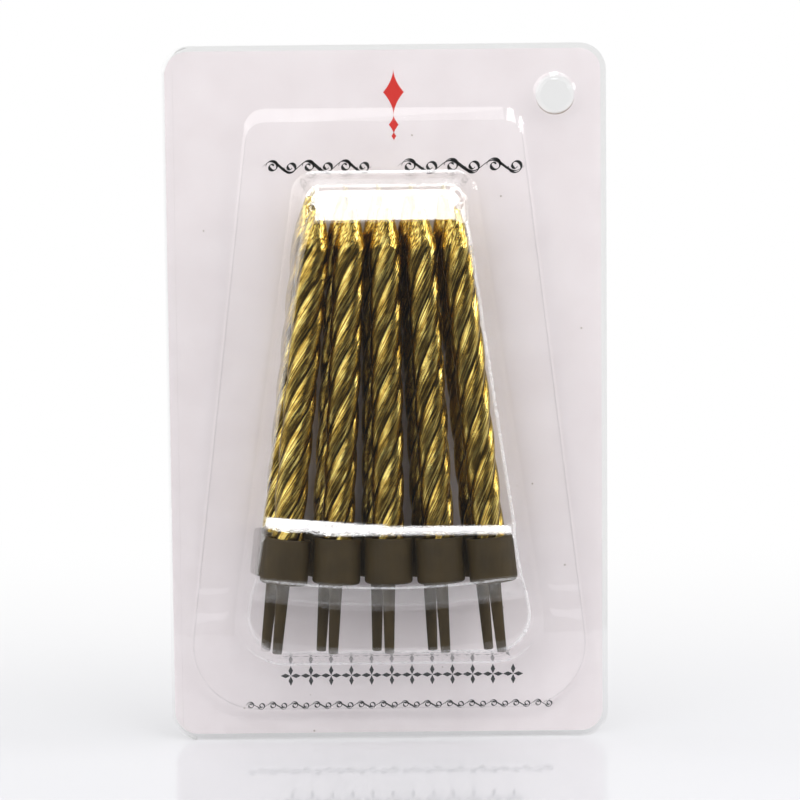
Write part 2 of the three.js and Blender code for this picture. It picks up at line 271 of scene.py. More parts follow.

# %% [markdown]
# Coated white board, offset printed. The coating is smooth and slightly pink, with the faint mottle of paper and
# a few specks of dust and gold flake under the shell. The ink is a film on it. The third colour is no ink but a
# painted shadow: a brown crescent along the lower edge of the punched hole.

# %% Coated board and ink
def coated_board():
    """Pink white coating with a faint mottle at paper scale, and rare specks from thresholded cells."""
    material, tree, place = new_material("coated_board_offset_printed")
    mottle = noise(tree, place, 9 * MM, 5.0, Roughness=0.65)
    paper = ramp(tree, mottle, [(0.3, "#E8E0E2"), (0.7, "#EFE8EA")])
    cells = add(tree, "TexVoronoi", Vector=place, Scale=1 / (5.5 * MM))
    speck = calculate(tree, "LESS_THAN", cells.outputs["Distance"], 0.035)
    speckled = add(tree, "Mix", {"data_type": "RGBA"}, _0=speck, _6=paper, _7=linear("#B9AFA8"))
    return surface(material, add(
        tree, "BsdfPrincipled", Base_Color=speckled.outputs[2], Roughness=0.55,
        Normal=bump(tree, noise(tree, place, 0.35 * MM, 2.0), 0.15, 0.02 * MM),
    ))


def matt_film(name, colour):
    """A thin matt film, a little uneven: offset ink where the board took it up, and also the painted hole shadow."""
    material, tree, place = new_material(name)
    film = between(tree, noise(tree, place, 0.6 * MM, 3.0), 0.2, 0.8, 0.35, 0.6)
    return surface(material, add(tree, "BsdfPrincipled", Base_Color=linear(colour), Roughness=film))


board = coated_board()
black_ink = matt_film("offset_ink_black", "#15191A")
red_ink = matt_film("offset_ink_red", "#D7281E")
# Not ink: the brown of a painted shadow along the lower edge of the punched hole.
hole_shadow_paint = matt_film("painted_hole_shadow", "#8A7765")

# %% [markdown]
# Metallic lacquer over extruded wax. The wax is drawn and twisted while it is soft, which leaves fine streaks along
# the helix, and the lacquer follows them. The streaks are read from an attribute that each candle carries: its
# own coordinates with the twist taken out, so a streak is simply a thing that changes little along the candle.

# %% Gold lacquer
def gold_lacquer():
    """Metal whose colour, roughness and fine relief change round the candle fast and along it slowly; near the grooves
    its colour is darkened as painted shade.
    """
    material, tree, _ = new_material("gold_lacquer_on_extruded_wax")
    untwisted = add(tree, "Attribute", {"attribute_name": "untwisted"}).outputs["Vector"]
    crease = add(tree, "Attribute", {"attribute_name": "crease"}).outputs["Fac"]
    streaks = drawn_out(tree, untwisted, 0.2 * MM, 8 * MM, 1.0)
    blotch = calculate(tree, "MULTIPLY", noise(tree, untwisted, 1.6 * MM, 3.0), 0.3)
    tone = calculate(tree, "MULTIPLY_ADD", streaks, 0.7, blotch)
    lacquer = ramp(tree, tone, [(0.38, "#634D12"), (0.5, "#BF9E49"), (0.62, "#F0DF89")])
    # Painted shade: the colour is multiplied down to dark brown close to each groove.
    painted_groove_shade = ramp(tree, crease, [(0.8, "#FFFFFF"), (0.98, "#4A3A18")])
    multiplied = {"data_type": "RGBA", "blend_type": "MULTIPLY"}
    colour = add(tree, "Mix", multiplied, _0=1.0, _6=lacquer, _7=painted_groove_shade).outputs[2]
    relief = calculate(tree, "MULTIPLY_ADD", noise(tree, untwisted, 0.32 * MM, 2.0), 0.2, streaks)
    return surface(material, add(
        tree, "BsdfPrincipled", Base_Color=colour, Metallic=1.0,
        Roughness=between(tree, streaks, 0.3, 0.7, 0.24, 0.1), Normal=bump(tree, relief, 1.0, 0.075 * MM),
    ))


# %% [markdown]
# The holders are brown polystyrene from a mould, satin, with faint flow lines. The wicks are braided cotton,
# stiff with wax.

# %% Brown plastic and waxed cotton
def moulded_brown():
    """Satin plastic with soft clouds of tone and fine vertical flow lines."""
    material, tree, place = new_material("polystyrene_brown_moulded")
    colour = ramp(tree, noise(tree, place, 4 * MM, 3.0), [(0.3, "#362B14"), (0.7, "#403318")])
    lines = drawn_out(tree, place, 0.5 * MM, 6 * MM, 2.0)
    return surface(material, add(
        tree, "BsdfPrincipled", Base_Color=colour, Roughness=between(tree, lines, 0.3, 0.7, 0.55, 0.7),
        Specular_IOR_Level=0.3, Normal=bump(tree, lines, 0.3, 0.02 * MM),
    ))


def waxed_cotton():
    """Off-white braid, darker in the hollows between its threads as painted shade."""
    material, tree, place = new_material("cotton_braided_waxed")
    threads = noise(tree, place, 0.25 * MM, 3.0)
    return surface(material, add(
        tree, "BsdfPrincipled", Base_Color=ramp(tree, threads, [(0.3, "#D9CFB8"), (0.7, "#F4EEDD")]),
        Roughness=0.7, Sheen_Weight=0.2, Normal=bump(tree, threads, 0.4, 0.05 * MM),
    ))


gold = gold_lacquer()
brown = moulded_brown()
cotton = waxed_cotton()
print("materials:", [m.name for m in (pvc, board, black_ink, red_ink, hole_shadow_paint, gold, brown, cotton)])

# %% [markdown]
# The shell is formed over a wooden tool, and its parts are all rounded trapezoids: the shallow step and the
# bubble on it. One function gives a rounded trapezoid for any place on its rim. The place is a run from 0 to 3:
# the foot corner's arc, the straight side, the top corner's arc. A share across from -1 to 1 then fills the
# inside and the left half, so rim and face come from one formula, and their points meet without a seam.

# %% The rounded trapezoid
def trapezoid(run, foot, top, half_foot, half_top, foot_radius, top_radius):
    """Right-hand rim: foot arc about its centre for run 0 to 1, then the straight side, then the top arc."""
    lean = np.arctan2(half_foot - half_top, top - foot)
    sine, cosine = np.sin(lean), np.cos(lean)
    wall = half_foot * cosine + foot * sine

    def arc(centre_up, radius, turn):
        centre = (wall - radius - sine * centre_up) / cosine
        return combine(centre + radius * np.cos(turn), centre_up + radius * np.sin(turn))

    first, middle, last = (np.clip(run - k, 0, 1) for k in range(3))
    start = arc(foot + foot_radius, foot_radius, -np.pi / 2 + (np.pi / 2 + lean) * first)
    end = arc(top - top_radius, top_radius, lean + (np.pi / 2 - lean) * last)
    side_foot = arc(foot + foot_radius, foot_radius, lean + 0 * run)
    side_top = arc(top - top_radius, top_radius, lean + 0 * run)
    return start + middle[..., None] * (side_top - side_foot) + (end - side_top)


# %% [markdown]
# These are the shell's real sizes, as in the CAD source: the outline of the bubble at a height out of the card
# follows from the drafts of its walls, and the bubble's front is one profile from foot to top: the spike bay,
# the deeper cup bay, the long candle face and the slanting facet over the tips.

# %% Sizes of the shell
sheet = 0.4
flange_out, plateau_out = 0.7, 1.8
pack_top, pack_right = cad_box[1].z / MM, cad_box[1].x / MM
cover_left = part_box("front_shell")[0].x / MM
corner_radius = 5.0
step_foot, step_top, step_half_foot, step_half_top = 5.6, 118.093, 38.599, 25.196
step_foot_radius, step_top_radius, step_draft = 12.5, 3.7, 0.423
top_slope, top_slope_start = 4.2, 0.085
bubble_foot, bubble_top, top_corner_up = 14.5, 106.7, 106.093
bubble_foot_radius, bubble_top_radius, tightening = 9, 4.5, 0.15
shoulder_up, mouth_at_shoulder, mouth_widening = 94.749, 18.15, 0.147948
side_draft, top_draft, foot_draft = 0.2, 0.24, 0.31
mouth_out = 0.3
front_profile = np.array([
    (12.1, 16.67), (28.17, 16.67), (31.77, 19.27), (41.65, 19.27), (41.75, 18.19), (43.0, 16.99), (98.27, 13.20),
    (108.49, 7.45),
])
front_fillets = [0, 1.0, 1.0, 0.15, 0.25, 0.2, 0.5, 0]


def mouth_half_width(up):
    """Half width of the bubble's mouth, which widens evenly towards the foot."""
    return mouth_at_shoulder + mouth_widening * (shoulder_up - up)


def bubble_rim(run, out):
    """The bubble's outside where its walls have come out that far; the corners tighten as they do."""
    past = out - mouth_out
    foot, top = bubble_foot - sheet + foot_draft * past, bubble_top + sheet - top_draft * past
    half_foot = mouth_half_width(bubble_foot) + sheet - side_draft * past
    half_top = mouth_half_width(top_corner_up) + sheet - side_draft * past
    foot_radius = np.maximum(bubble_foot_radius - tightening * past, sheet) + sheet
    top_radius = np.maximum(bubble_top_radius - tightening * past, sheet) + sheet
    return trapezoid(run, foot, top, half_foot, half_top, foot_radius, top_radius)


def step_rim(run, inset):
    """The step's outside, drawn in from its foot by an inset. Its top is a soft slope, so it is drawn in further."""
    inset = inset + 0 * run
    drop = top_slope * np.clip(inset - top_slope_start, 0, None)
    half_top = step_half_top + sheet - inset + (step_half_foot - step_half_top) / (step_top - step_foot) * drop
    return trapezoid(
        run, step_foot - sheet + inset, step_top + sheet - inset - drop, step_half_foot + sheet - inset, half_top,
        step_foot_radius + sheet - inset, step_top_radius + sheet - inset,
    )


def rounded_profile(corners, tangents, steps=12):
    """A polyline with each corner replaced by a parabola between two points a tangent's length away."""
    share = np.linspace(0, 1, steps)[:, None]
    pieces = [corners[:1]]
    for before, corner, after, tangent in zip(corners[:-2], corners[1:-1], corners[2:], tangents[1:-1]):
        start = corner + (before - corner) / np.linalg.norm(before - corner) * tangent
        end = corner + (after - corner) / np.linalg.norm(after - corner) * tangent
        pieces.append((1 - share) ** 2 * start + 2 * share * (1 - share) * corner + share ** 2 * end)
    return np.vstack([*pieces, corners[-1:]])


profile = rounded_profile(front_profile, front_fillets)
bay_half_width, foot_ledge_bow, cup_ledge_lift = 24.0, 1.8, 1.95


def level_ledges(across, up):
    """The height at which the profile is read: the foot ledge rises to both sides, the cup ledge to the left."""
    sideways = across / bay_half_width
    foot_ledge = foot_ledge_bow * sideways ** 2 * np.clip((37 - up) / 4, 0, 1)
    near_cups = np.clip((up - 40.2) / 3.4, 0, 1) * np.clip((53 - up) / 6, 0, 1)
    return up - foot_ledge - cup_ledge_lift * np.clip(-sideways, 0, 1) * near_cups


def front_out(across, up):
    """How far out the bubble's front is: the profile at that height."""
    return np.interp(level_ledges(across, up), profile[:, 0], profile[:, 1])


# %% [markdown]
# Rows of points lie close together where the front bends and far apart where it is flat. Their spacing comes
# from a density that peaks at every bend and rib: its running sum, read backwards, gives the rows.

# %% Rows of the shell
bends = [(24.5, 0.9), (28.6, 1.2), (32.4, 1.6), (43.0, 2.3), (91.0, 0.9), (98.3, 1.0)]
heights = np.linspace(24.0, 101.5, 2000)
wide_spacing, close_spacing = 2.2, 0.3
peaks = sum(np.exp(-((heights - bend) / spread) ** 4) for bend, spread in bends)
density = 1 / wide_spacing + peaks / close_spacing
running = np.cumsum(density)
straight_rows = np.interp(np.linspace(running[0], running[-1], 190), running, heights)
straight_runs = 1 + (straight_rows - heights[0]) / (heights[-1] - heights[0])
runs = np.concatenate([np.linspace(0, 1, 15)[:-1], straight_runs, np.linspace(2, 3, 13)[1:]])
across_shares = np.sin(np.linspace(-np.pi / 2, np.pi / 2, 41)) * 0.35 + np.linspace(-1, 1, 41) * 0.65
row_count, column_count = len(runs), len(across_shares)
every_row, inner_columns = np.arange(row_count), np.ones(column_count - 2, int)
rim_rows = np.concatenate([every_row, inner_columns * (row_count - 1), every_row[::-1], inner_columns * 0])
rim_across = np.concatenate([np.ones(row_count), across_shares[-2:0:-1], -np.ones(row_count), across_shares[1:-1]])
print("rows", row_count, "columns", column_count, "rim points", len(rim_rows))

# %% [markdown]
# Every ring of the shell is the rim at one stage of the way from the flat flange to the bubble's front. A bend
# between two walls is a parabola whose tangents are as long on one wall as on the other, so it looks like the
# round edge that warm plastic takes over a tool. Where a wall meets the front is found by reading the front's
# height on the rim at the last answer, again and again until it stays.

# %% Rings of the shell
def bend_into(level, tangent, draft, steps, rising):
    """Stages of a bend as (where on the wall, how far out). Rising: from a flat up into a wall; else wall to flat."""
    share = np.linspace(0, 1, steps)[:, None]
    wall, flat = (share, 1 - share) if rising else (1 - share, share)
    sign = 1 if rising else -1
    where = level - sign * tangent / draft * flat ** 2 + sign * tangent * wall ** 2
    return where, level + sign * tangent * wall ** 2


def step_inset(where):
    """How far the step's wall has leaned in at a height: its draft times the height over 0.5 mm."""
    return step_draft * (where - 0.5)


at_foot, at_top = np.clip(1 - runs, 0, 1), np.clip(runs - 2, 0, 1)
draft = side_draft + (foot_draft - side_draft) * at_foot + (top_draft - side_draft) * at_top
front_edge, tries = np.full(row_count, 16.0), 40
for _ in range(tries):
    edge_across, edge_up = bubble_rim(runs, front_edge).T
    front_edge = front_out(edge_across, edge_up)

step_bend, foot_bend, flange_margin = 0.03, 0.4 - 0.1 * at_top, 2.6
front_bend = 1.0 + 1.2 * np.exp(-((runs - 2.05) / 0.12) ** 2)
rings = [(step_rim(runs, step_inset(flange_out - flange_margin)), flange_out)]
for flat_out, rising in ((flange_out, True), (plateau_out, False)):
    for where, out in zip(*bend_into(flat_out, step_bend, step_draft, 5, rising)):
        rings.append((step_rim(runs, step_inset(where)), out))
where, out = bend_into(plateau_out, foot_bend, draft, 7, True)
step_end, bubble_start = rings[-1][0], bubble_rim(runs, where[0])
for share in np.linspace(0, 1, 16)[1:-1]:
    rings.append((step_end + (bubble_start - step_end) * share, plateau_out))
foot_ring = len(rings)
rings += [(bubble_rim(runs, w), o) for w, o in zip(where, out)]
wall_foot, wall_top = plateau_out + foot_bend, front_edge - front_bend
for share in np.linspace(0, 1, 7)[1:-1]:
    level = wall_foot + (wall_top - wall_foot) * share
    rings.append((bubble_rim(runs, level), level))
where, out = bend_into(front_edge, front_bend, draft, 8, False)
rings += [(bubble_rim(runs, w), o) for w, o in zip(where[:-1], out[:-1])]
front_rim = bubble_rim(runs, where[-1])
bend_rings = len(rings) - len(where[:-1])
print("rings:", len(rings))

# %% [markdown]
# On both sides of the step the tool has three short ribs that stiffen the sheet. They are added to the height of
# the surface as soft ridges. The front is also a little crowned, as a formed sheet always is. The strain and
# highlight says how white the sheet is at its hard bends: round the front, at the bubble's foot and top, and at
# the ledges. That white is partly stress whitening and partly painted highlight: brighter on the right side of
# the front, and strongest on the ledge over the cups.

# %% The formed part of the cover
rib_heights, rib_length, rib_rise = (91.0, 29.2, 24.5), 6.1, 0.14


def ribs(across, up):
    """Height of the ribs: a bell across each rib, cut off softly at its inner end."""
    edge = step_half_foot + (step_half_top - step_half_foot) * (up - step_foot) / (step_top - step_foot)
    from_edge = edge - np.abs(across)
    length = np.clip((rib_length - from_edge) / 0.8, 0, 1) * (from_edge > -0.6)
    bells = sum(np.exp(-((up - height) / 0.7) ** 2) for height in rib_heights)
    return rib_rise * bells * length


def ring_points(rim, out):
    """A ring's rim row by row, spread round the whole outline."""
    across, up = rim[rim_rows, 0] * rim_across, rim[rim_rows, 1]
    height = (out + 0 * runs)[rim_rows]
    on_step = (height > plateau_out - 0.3) & (height < plateau_out + 0.3)
    return combine(across, up, height + on_step * ribs(across, up))


formed = np.stack([ring_points(rim, out) for rim, out in rings])
patch_across = front_rim[:, :1] * across_shares
patch_up = front_rim[:, 1:] + 0 * patch_across
crown = 0.18 * (1 - across_shares ** 2)
patch = combine(patch_across, patch_up, front_out(patch_across, patch_up) + crown)
patch_index = np.arange(row_count * column_count).reshape(row_count, column_count) + formed[:, :, 0].size
seam = np.concatenate([patch_index[:, -1], patch_index[-1, -2:0:-1], patch_index[::-1, 0], patch_index[0, 1:-1]])
last_ring = np.arange(len(seam)) + (len(rings) - 1) * len(seam)
stitch = combine(last_ring, np.roll(last_ring, -1), np.roll(seam, -1), seam)
formed_points = np.vstack([formed.reshape(-1, 3), patch.reshape(-1, 3)])
formed_grid = np.vstack([
    grid_faces(len(rings), len(seam), around=True), grid_faces(row_count, column_count) + formed[:, :, 0].size,
])
below_facet = np.clip((101 - formed[-1, :, 1]) / 6, 0, 1)
edge_strain_and_highlight = np.zeros(formed.shape[:2])
across_bend = np.sin(np.linspace(0, np.pi, len(rings) - bend_rings))[:, None] ** 3
# Round the front: stress whitening and painted highlight, brighter on the right side than on the left.
edge_strain_and_highlight[bend_rings:] = across_bend * (0.22 + 0.08 * rim_across) * below_facet
on_top = np.clip((runs[rim_rows] - 2.6) / 0.35, 0, 1)
on_foot = np.clip(1 - runs[rim_rows] / 0.6, 0, 1)
foot_arch = np.sin(np.linspace(0, np.pi, 7))[:, None] ** 2
# At the bubble's foot, strongest along its top: stress whitening and painted highlight.
edge_strain_and_highlight[foot_ring:foot_ring + 7] += foot_arch * (0.5 * on_top + 0.4 * on_foot)
edge_strain_and_highlight[bend_rings - 2:bend_rings + 4] += 0.1 * on_top
level = level_ledges(patch_across, patch_up)
# Along the foot ledge's bends: stress whitening and painted highlight.
ledge_bends_strain_and_highlight = [(31.77, 0.4), (28.3, 0.08)]
patch_strain_and_highlight = sum(amount * np.exp(-((level - bend) / 0.14) ** 2) for bend, amount in ledge_bends_strain_and_highlight)
# The strip on the ledge over the cups is painted white: painted highlight.
patch_strain_and_highlight += 0.6 * np.clip((level - 41.65) / 0.15, 0, 1) * np.clip((43.05 - level) / 0.15, 0, 1)
print("formed part:", len(formed_points), "points,", len(formed_grid), "faces")

# %% [markdown]
# The flat flange has two holes in it for now: one for the step, one for the snap button. A constrained Delaunay
# triangulation fills what is between outline and holes. It is flat, so the long triangles do no harm.

# %% Flat sheets with holes
def sheet_rim(left, inset, points_per_corner=14):
    """Anticlockwise outline of a sheet inside the pack's: left edge given, the other three inset alike."""
    right, top = pack_right - inset, pack_top - inset
    run = np.concatenate([np.linspace(0, 1, points_per_corner), np.linspace(2, 3, points_per_corner)])
    halves = []
    for side in (1, -1):
        radius = corner_radius - (inset if side > 0 else left + pack_right)
        half = (right - left) / 2
        rim = trapezoid(run, inset + 0 * run, top + 0 * run, half, half, radius, radius)
        halves.append(rim[::side] * (side, 1) + ((left + right) / 2, 0))
    return np.vstack(halves)


def fill_flat(loops):
    """Triangles between an outer loop and round holes in it. One with all its corners on one hole is in the hole."""
    points = np.vstack(loops)
    starts = np.cumsum([0] + [len(loop) for loop in loops])
    edges = [
        (int(a), int(b)) for s, e in zip(starts[:-1], starts[1:])
        for a, b in zip(np.arange(s, e), np.roll(np.arange(s, e), -1))
    ]
    made = delaunay_2d_cdt([Vector(p) for p in points.tolist()], edges, [], 1, 1e-6)
    triangles = np.array(made[2], dtype=int)
    loop_of = np.searchsorted(starts, [origins[0] for origins in made[3]], side="right") - 1
    owners = loop_of[triangles]
    in_hole = (owners == owners[:, :1]).all(axis=1) & (owners[:, 0] > 0)
    return np.array([tuple(p) for p in made[0]]), triangles[~in_hole]


button_across, button_up, button_radius = pack_right - 9.4, pack_top - 9.4, 3.85
button_turns = 72


def button_rings(stages):
    """Circles about the button's centre, one for each (radius, out), and a last ring small enough to close."""
    angle = full_turn(button_turns)
    radius, out = np.array(stages, float).T[..., None]
    across, up = button_across + radius * np.cos(angle), button_up + radius * np.sin(angle)
    return combine(across, up, out + 0 * angle)


def join_parts(parts):
    """Points and faces of several parts as one. Each part is its points and arrays of faces numbered from 0."""
    counts = np.cumsum([0] + [len(points) for points, *_ in parts])
    faces = [
        face for (_, *arrays), start in zip(parts, counts) for array in arrays
        for face in (np.asarray(array) + start).tolist()
    ]
    return np.vstack([points for points, *_ in parts]), faces


def weld(piece, distance=0.002 * MM):
    """Merges points that lie on each other."""
    work = bmesh.new()
    work.from_mesh(piece.data)
    bmesh.ops.remove_doubles(work, verts=work.verts, dist=distance)
    work.to_mesh(piece.data)
    work.free()
    return piece


def pole(rows, turns, first=False):
    """Triangles from the last ring, or the first, to one point in its middle that comes after all the rings."""
    ring = np.arange(turns) + (0 if first else (rows - 1) * turns)
    middle = np.full(turns, rows * turns + (0 if first else 1))
    fan = combine(ring, np.roll(ring, -1), middle)
    return fan[:, ::-1] if first else fan


# %% [markdown]
# The snap button is a hollow cap in the cover and a hollow stud in the back, both drawn with soft edges and a
# slight dome. Each is a few circles, so it joins the flat sheet point to point.

# %% Cover: flange, step, bubble and cap
def snap(base_out, height, radius, edge, dome):
    """Stages of a formed button from the sheet it rises from: foot bend, wall, edge bend, shallow dome."""
    share = np.linspace(0, 1, 6)
    foot = combine(radius + edge * (1 - share) ** 2, base_out + edge * share ** 2)
    top = base_out + height - dome
    rim = combine(radius - 0.15 - edge * share ** 2, top - edge * (1 - share) ** 2)
    inner = np.linspace(1, 0.04, 8)[1:]
    crown = combine((radius - 0.15 - edge) * inner, top + dome * (1 - inner ** 2))
    return np.vstack([foot, rim, crown])


def button_part(stages):
    """A button's rings with its pole closed, as a part to join."""
    circles = button_rings(stages)
    points = np.vstack([circles.reshape(-1, 3), circles[-1].mean(axis=0)])
    rows, turns = circles.shape[:2]
    fan = pole(rows, turns) - (0, 0, 1)
    return points, grid_faces(rows, turns, around=True), fan


def flat_part(loops, out):
    """A flat sheet at one distance out, as a part to join."""
    points, faces = fill_flat(loops)
    return np.column_stack([points, np.full(len(points), out)]), faces


cap = button_part(snap(flange_out, 1.6, button_radius, 0.45, 0.12))
flange = flat_part([sheet_rim(cover_left, 0), formed[0, :, :2], cap[0][:button_turns, :2]], flange_out)
points, faces = join_parts([flange, (formed_points, formed_grid, stitch), cap])
cover = make_piece("clear_cover", stand(points), faces, "cover", pvc, ["front_shell"])
strain_and_highlight = np.zeros(len(points))
formed_strain_and_highlight = np.concatenate([edge_strain_and_highlight.ravel(), patch_strain_and_highlight.ravel()])
strain_and_highlight[len(flange[0]):len(flange[0]) + len(formed_points)] = formed_strain_and_highlight
cover.data.attributes.new("strain_and_highlight", "FLOAT", "POINT").data.foreach_set("value", strain_and_highlight)
thicken(weld(cover), sheet, 50)

# %% [markdown]
# The back is a flat sheet with the stud. The fold joins both along the left edge. It is one strip of the same
# plastic, bent round the hinge line. It rides on no body, so it stays where it is drawn.

# %% Back sheet and fold
back_sheet_out, snap_clearance = -0.7, 0.3
stud = button_part(snap(back_sheet_out, 2.3, button_radius - sheet - snap_clearance, 0.35, 0.08))
back_loops = [sheet_rim(cover_left, 0), stud[0][:button_turns, :2]]
points, faces = join_parts([flat_part(back_loops, back_sheet_out), stud])
back = make_piece("clear_back", stand(points), faces, "base", pvc, ["back_shell"])
thicken(weld(back), sheet, 50)

hinge = next(joint for joint in frame["joints"] if joint["name"] == "cover_hinge")
hinge_across, hinge_out = hinge["pos_m"][0] / MM, (card_front - hinge["pos_m"][1]) / MM
fold_radius = flange_out - hinge_out
end_gap, leg_steps = 0.04, 4
corner_levels = end_gap + (corner_radius - end_gap) * np.sin(np.linspace(0, np.pi / 2, 24))
lengths = np.concatenate([corner_levels, np.linspace(corner_radius, pack_top - corner_radius, 50)[1:-1]])
lengths = np.concatenate([lengths, pack_top - corner_levels[::-1]])
past_end = np.clip(np.minimum(lengths, pack_top - lengths), 0, corner_radius)
corner_across = -pack_right + corner_radius
inner_radius = corner_across - cover_left
outer_edge = corner_across - np.sqrt(corner_radius ** 2 - (corner_radius - past_end) ** 2)
inner_past = np.clip(past_end, 0, inner_radius)
inner_edge = corner_across - np.sqrt(inner_radius ** 2 - (inner_radius - inner_past) ** 2)
bulge = np.minimum(fold_radius, inner_edge - outer_edge)
turn = np.linspace(np.pi / 2, 3 * np.pi / 2, 25)
centre = outer_edge + bulge
arc_across = centre[:, None] + bulge[:, None] * np.cos(turn)
leg = inner_edge[:, None] + (centre - inner_edge)[:, None] * np.linspace(0, 1, leg_steps + 1)[:-1]
fold_across = np.hstack([leg, arc_across, leg[:, ::-1]])
leg_out = np.full(leg_steps, fold_radius)
fold_out = np.concatenate([leg_out, fold_radius * np.sin(turn), -leg_out]) + hinge_out
strip = np.stack(np.broadcast_arrays(fold_across, lengths[:, None], fold_out), axis=-1)
fold = make_piece(
    "folded_edge", stand(strip), grid_faces(*strip.shape[:2])[:, ::-1].tolist(), None, pvc,
    ["hinge_fold"],
)
thicken(fold, sheet, 50)
fold_points = np.empty(3 * len(fold.data.vertices))
fold.data.vertices.foreach_get("co", fold_points)
fold_points[2::3] = np.clip(fold_points[2::3], end_gap * MM, (pack_top - end_gap) * MM)
fold.data.vertices.foreach_set("co", fold_points)
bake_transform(fold)

# %% [markdown]
# The card is die-cut board with a punched hole for the stud. Its left edge reaches into the hollow of the fold.

# %% The card
card_thickness, hole_radius = 0.4, 3.6
card_left = -pack_right + 0.55
angle = full_turn(64)
hole = combine(button_across + hole_radius * np.cos(angle), button_up + hole_radius * np.sin(angle))
points, faces = join_parts([flat_part([sheet_rim(card_left, 1.0), hole], 0.0)])
card = make_piece("printed_board", stand(points), faces, "base", board, ["printed_card"])
thicken(card, card_thickness)

# %% [markdown]
# The printing is generic ornament, drawn as a pen would draw it: a centre line with a width that grows on the
# downstrokes. Each stroke is a thin film of ink on the board, so it has a shape of its own. The last ribbon is
# no print: it is a painted shadow, a brown crescent along the lower edge of the punched hole.

# %% Pen strokes
film_thickness = 0.03
pen_angle = math.radians(40)


def stroke(line, thin, thick):
    """A ribbon along a line (across, up). Its half width grows with how squarely the line crosses the pen's edge."""
    step = np.gradient(line, axis=0)
    direction = step / np.linalg.norm(step, axis=1, keepdims=True)
    normal = combine(-direction[:, 1], direction[:, 0])
    pressure = np.abs(normal @ (math.cos(pen_angle), math.sin(pen_angle)))
    ends = np.sin(np.linspace(0, np.pi, len(line))) ** 0.35
    half = (thin + (thick - thin) * pressure ** 2)[:, None] / 2 * np.maximum(ends, 0.15)[:, None]
    return np.stack([line - normal * half, line + normal * half], axis=1)


def film_parts(ribbons):
    """Every ribbon as a closed film: its face, its back on the board, and the rim between them."""
    parts = []
    for ribbon in ribbons:
        count = len(ribbon)
        section = np.stack([ribbon[:, 0], ribbon[:, 1], ribbon[:, 1], ribbon[:, 0]], axis=1)
        out = np.array([film_thickness, film_thickness, 0.005, 0.005])
        points = np.concatenate([section, np.broadcast_to(out[None, :, None], (count, 4, 1))], axis=-1)
        caps = np.array([[0, 1, 2, 3], 4 * count - 1 - np.arange(4)])
        parts.append((points.reshape(-1, 3), np.vstack([grid_faces(count, 4, around=True)[:, ::-1], caps])))
    return join_parts(parts)


def vine(left, right, middle, swing, waves, thin, thick):
    """Strokes of a scroll: a sine stem, and in each of its half waves a tendril that winds in to a spiral."""
    along = np.linspace(0, 1, 60 * waves)
    stem = combine(left + (right - left) * along, middle + swing * np.sin(2 * np.pi * waves * along))
    strokes = [stroke(stem, thin, thick)]
    half_wave = (right - left) / waves / 2
    share = np.linspace(0, 1, 70)
    radius = half_wave * 0.36 * (1 - 0.8 * share)
    turn = np.pi + 2 * np.pi * 1.45 * share
    for k in range(2 * waves):
        side = 1 if k % 2 else -1
        across = left + half_wave * (k + 0.56) + radius * np.cos(turn)
        tendril = combine(across, middle + side * (radius * np.sin(turn) - 0.1 * swing))
        strokes.append(stroke(tendril, thin, thick))
    return strokes


def lozenge(across, up, half_width, half_height, hollow, turn=0.0):
    """A four-pointed shape with sides that curve in, as a ribbon from its bottom point to its top point."""
    share = np.linspace(-1, 1, 25)
    width = half_width * (1 - np.abs(share)) ** (1 + hollow) + 0.004
    height = share * half_height
    edges = np.stack([combine(width, height), combine(-width, height)], axis=1)
    sine, cosine = math.sin(turn), math.cos(turn)
    spun = edges @ np.array([[cosine, sine], [-sine, cosine]])
    return spun + (across, up)


greeting = vine(-22.6, -2.4, 107.6, 1.0, 3, 0.14, 0.62) + vine(2.4, 26.0, 107.5, 1.0, 3, 0.14, 0.62)
wave = vine(-27.4, 30.8, 6.3, 0.42, 14, 0.1, 0.3)
petal_places, petals_up, petal_offset = np.linspace(-18.6, 23.2, 12), 11.95, 0.98
petals = [
    lozenge(place + petal_offset * math.sin(turn), petals_up + petal_offset * math.cos(turn), 0.42, 0.92, 0.0, -turn)
    for place in petal_places for turn in np.arange(4) * np.pi / 2
]
# Painted shadow: a brown crescent, widest at the bottom, along the lower half of the hole's edge.
hole_shadow_turn = np.linspace(math.radians(195), math.radians(345), 40)
hole_shadow_radius = hole_radius + 0.02 + 0.22 * np.sin(np.linspace(0, np.pi, 40))
hole_shadow_line = combine(np.cos(hole_shadow_turn), np.sin(hole_shadow_turn))
hole_shadow = [np.stack([hole_shadow_line * hole_shadow_radius[:, None], hole_shadow_line * hole_radius], axis=1) + (button_across, button_up)]
star = [lozenge(1.8, 121.2, 1.9, 4.3, 0.9), lozenge(1.8, 115.2, 0.9, 1.7, 0.5), lozenge(1.8, 113.1, 0.45, 0.8, 0.3)]
# The last entry is painted shadow, not print.
for name, ribbons, ink in [
    ("print_greeting_flourish", greeting, black_ink), ("print_foot_flourish", wave, black_ink),
    ("print_petal_row", petals, black_ink), ("print_star", star, red_ink), ("punched_burr", hole_shadow, hole_shadow_paint),
]:
    points, faces = film_parts(ribbons)
    make_piece(name, stand(points), faces, "base", ink)

# %% [markdown]
# Each candle is a bar of four lobes that was twisted and pointed. The lobes are arcs of a smaller circle, which
# makes the grooves between them sharp, as the twist presses them together. A candle is drawn upright about its
# own axis, and then laid along the line from the rim of its holder to its shoulder. The back row stands 2 mm to
# the left of the front row, as the pairs of spikes show.

